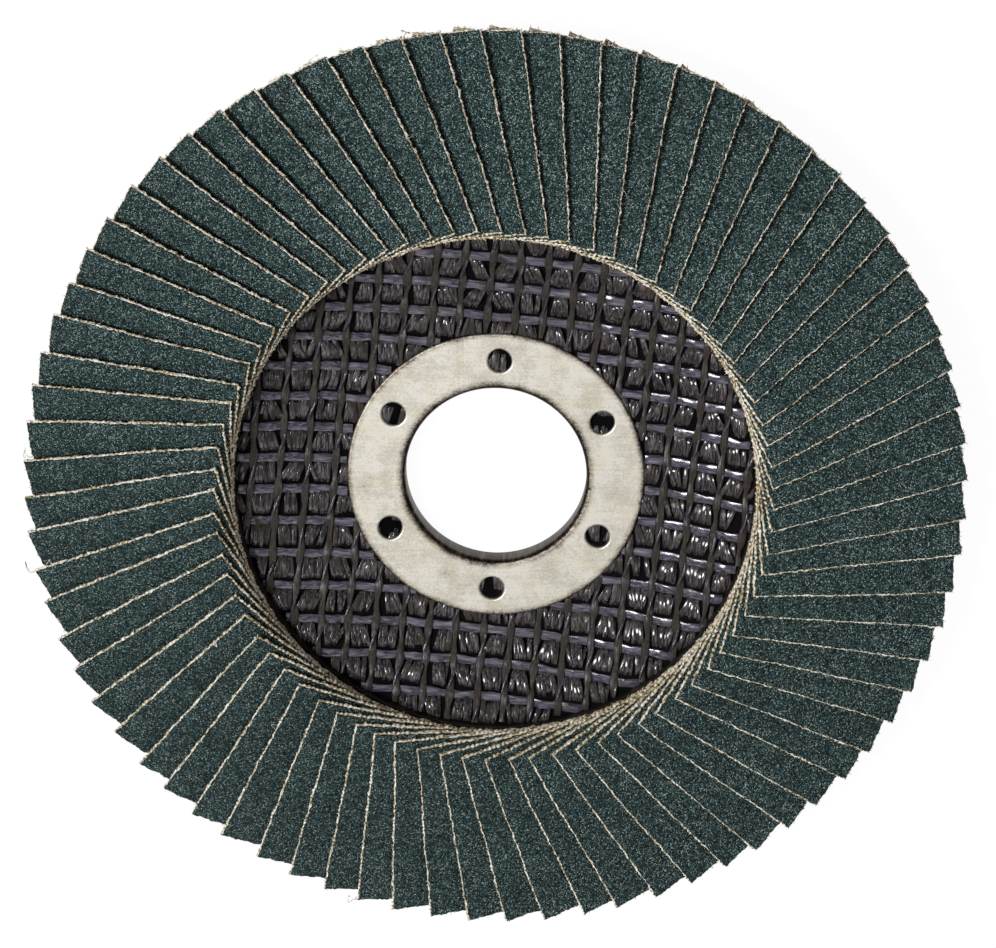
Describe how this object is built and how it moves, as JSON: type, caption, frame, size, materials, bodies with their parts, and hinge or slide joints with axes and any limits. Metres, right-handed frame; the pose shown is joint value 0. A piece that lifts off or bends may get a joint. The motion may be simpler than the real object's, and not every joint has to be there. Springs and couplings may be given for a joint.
{
  "type": "flap disc",
  "caption": "Round conical abrasive disc: overlapping abrasive cloth flaps set in adhesive on a pressed fibreglass plate with a steel arbor ring.",
  "frame": {"origin": "on the arbor bore's axis, in the plane of the hub's back face that seats on the grinder's flange", "axes": "+Z along the bore towards the abrasive face, with the disc lying on its back; X and Y across the disc, with the glass mesh turned 5 degrees from them"},
  "size_m": [0.115, 0.115, 0.0127],
  "materials": {
    "fibreglass_resin": "pressed black resin over an open glass mesh, glossy in places",
    "ring_steel": "plated stamped sheet, satin with fine wear marks",
    "abrasive_cloth": "dark green grit in resin on tan cotton-polyester cloth",
    "flap_adhesive": "cured dark brown resin adhesive"
  },
  "bodies": {
    "root": {"backing_plate": "fibreglass_resin", "centre_ring": "ring_steel", "adhesive_bed": "flap_adhesive", "flaps_01": "abrasive_cloth", "flaps_02": "abrasive_cloth", "flaps_03": "abrasive_cloth", "flaps_04": "abrasive_cloth", "flaps_05": "abrasive_cloth", "flaps_06": "abrasive_cloth", "flaps_07": "abrasive_cloth", "flaps_08": "abrasive_cloth", "flaps_09": "abrasive_cloth", "flaps_10": "abrasive_cloth", "flaps_11": "abrasive_cloth", "flaps_12": "abrasive_cloth", "flaps_13": "abrasive_cloth", "flaps_14": "abrasive_cloth", "flaps_15": "abrasive_cloth", "flaps_16": "abrasive_cloth", "flaps_17": "abrasive_cloth", "flaps_18": "abrasive_cloth", "flaps_19": "abrasive_cloth", "flaps_20": "abrasive_cloth", "flaps_21": "abrasive_cloth", "flaps_22": "abrasive_cloth", "flaps_23": "abrasive_cloth", "flaps_24": "abrasive_cloth", "flaps_25": "abrasive_cloth", "flaps_26": "abrasive_cloth", "flaps_27": "abrasive_cloth", "flaps_28": "abrasive_cloth", "flaps_29": "abrasive_cloth", "flaps_30": "abrasive_cloth", "flaps_31": "abrasive_cloth", "flaps_32": "abrasive_cloth", "flaps_33": "abrasive_cloth", "flaps_34": "abrasive_cloth", "flaps_35": "abrasive_cloth", "flaps_36": "abrasive_cloth", "flaps_37": "abrasive_cloth", "flaps_38": "abrasive_cloth"}
  },
  "joints": []
}
